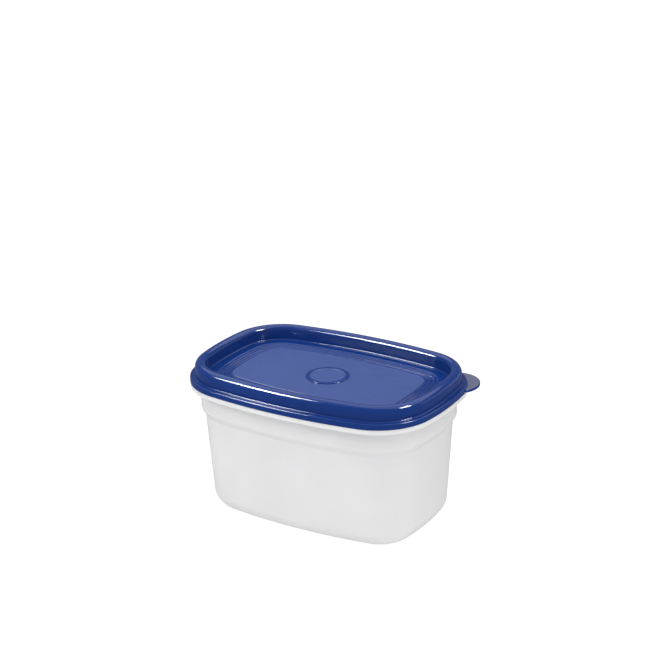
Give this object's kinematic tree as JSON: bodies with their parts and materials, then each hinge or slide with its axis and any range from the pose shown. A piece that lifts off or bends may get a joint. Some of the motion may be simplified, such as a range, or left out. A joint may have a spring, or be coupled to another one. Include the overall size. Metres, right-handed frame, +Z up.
{
  "type": "snap lid food container",
  "caption": "Rectangular frosted food tub with rounded corners and a blue snap lid that has a raised rim, a recessed centre panel and a corner pull tab.",
  "frame": {"origin": "on the surface it stands on, under the middle of the base", "axes": "+X along the length, towards the pull tab's end; +Y across the width, towards the pull tab's side; +Z up through the lid"},
  "size_m": [0.1512, 0.1024, 0.0872],
  "materials": {
    "frosted_bowl": "frosted, milky translucent",
    "blue_lid": "gloss rim, matte centre panel"
  },
  "bodies": {
    "bowl": {"container_bowl": "frosted_bowl"},
    "lid": {"snap_lid": "blue_lid"}
  },
  "joints": [
    {"name": "lid_lift", "type": "slide", "parent": "bowl", "child": "lid", "axis": [0, 0, 1], "range_m": [0, 0.08]}
  ]
}
